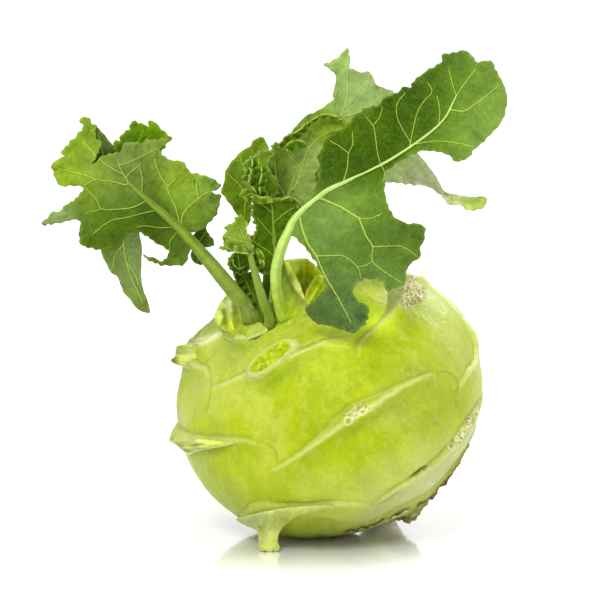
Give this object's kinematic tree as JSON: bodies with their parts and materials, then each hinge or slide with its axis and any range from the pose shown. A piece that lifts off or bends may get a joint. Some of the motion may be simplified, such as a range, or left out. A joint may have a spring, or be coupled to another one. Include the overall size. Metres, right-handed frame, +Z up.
{
  "type": "kohlrabi",
  "caption": "Fresh kohlrabi: a round swollen green stem with leaf scars and cut stalks, and a crown of ruffled leaves on thin stalks.",
  "frame": {"origin": "centre of the flat spot that the kohlrabi rests on, at the level of the surface", "axes": "+Z up, away from the surface; -Y towards the side where the crown leans forward and the big leaf hangs; +X to that viewer's right, away from the side that the crown leans to"},
  "size_m": [0.1364, 0.0931, 0.1464],
  "materials": {
    "bulb_skin": "smooth waxy satin skin with a pale bloom",
    "leaf_dark": "waxy leaf, upper side, with pale yellow veins",
    "leaf_under": "matte leaf, under side, with raised veins",
    "leaf_pale": "matte pale grey-green leaf, under side",
    "leaf_young": "young crisp curled leaf"
  },
  "bodies": {
    "root": {"bulb": "bulb_skin", "leaf_right": "leaf_dark", "leaf_left": "leaf_under", "leaf_back_right": "leaf_pale", "leaf_back_left": "leaf_under", "leaf_inner": "leaf_under", "leaf_young_tall": "leaf_dark", "leaf_young_front": "leaf_young", "leaf_young_tuft": "leaf_young"}
  },
  "joints": []
}
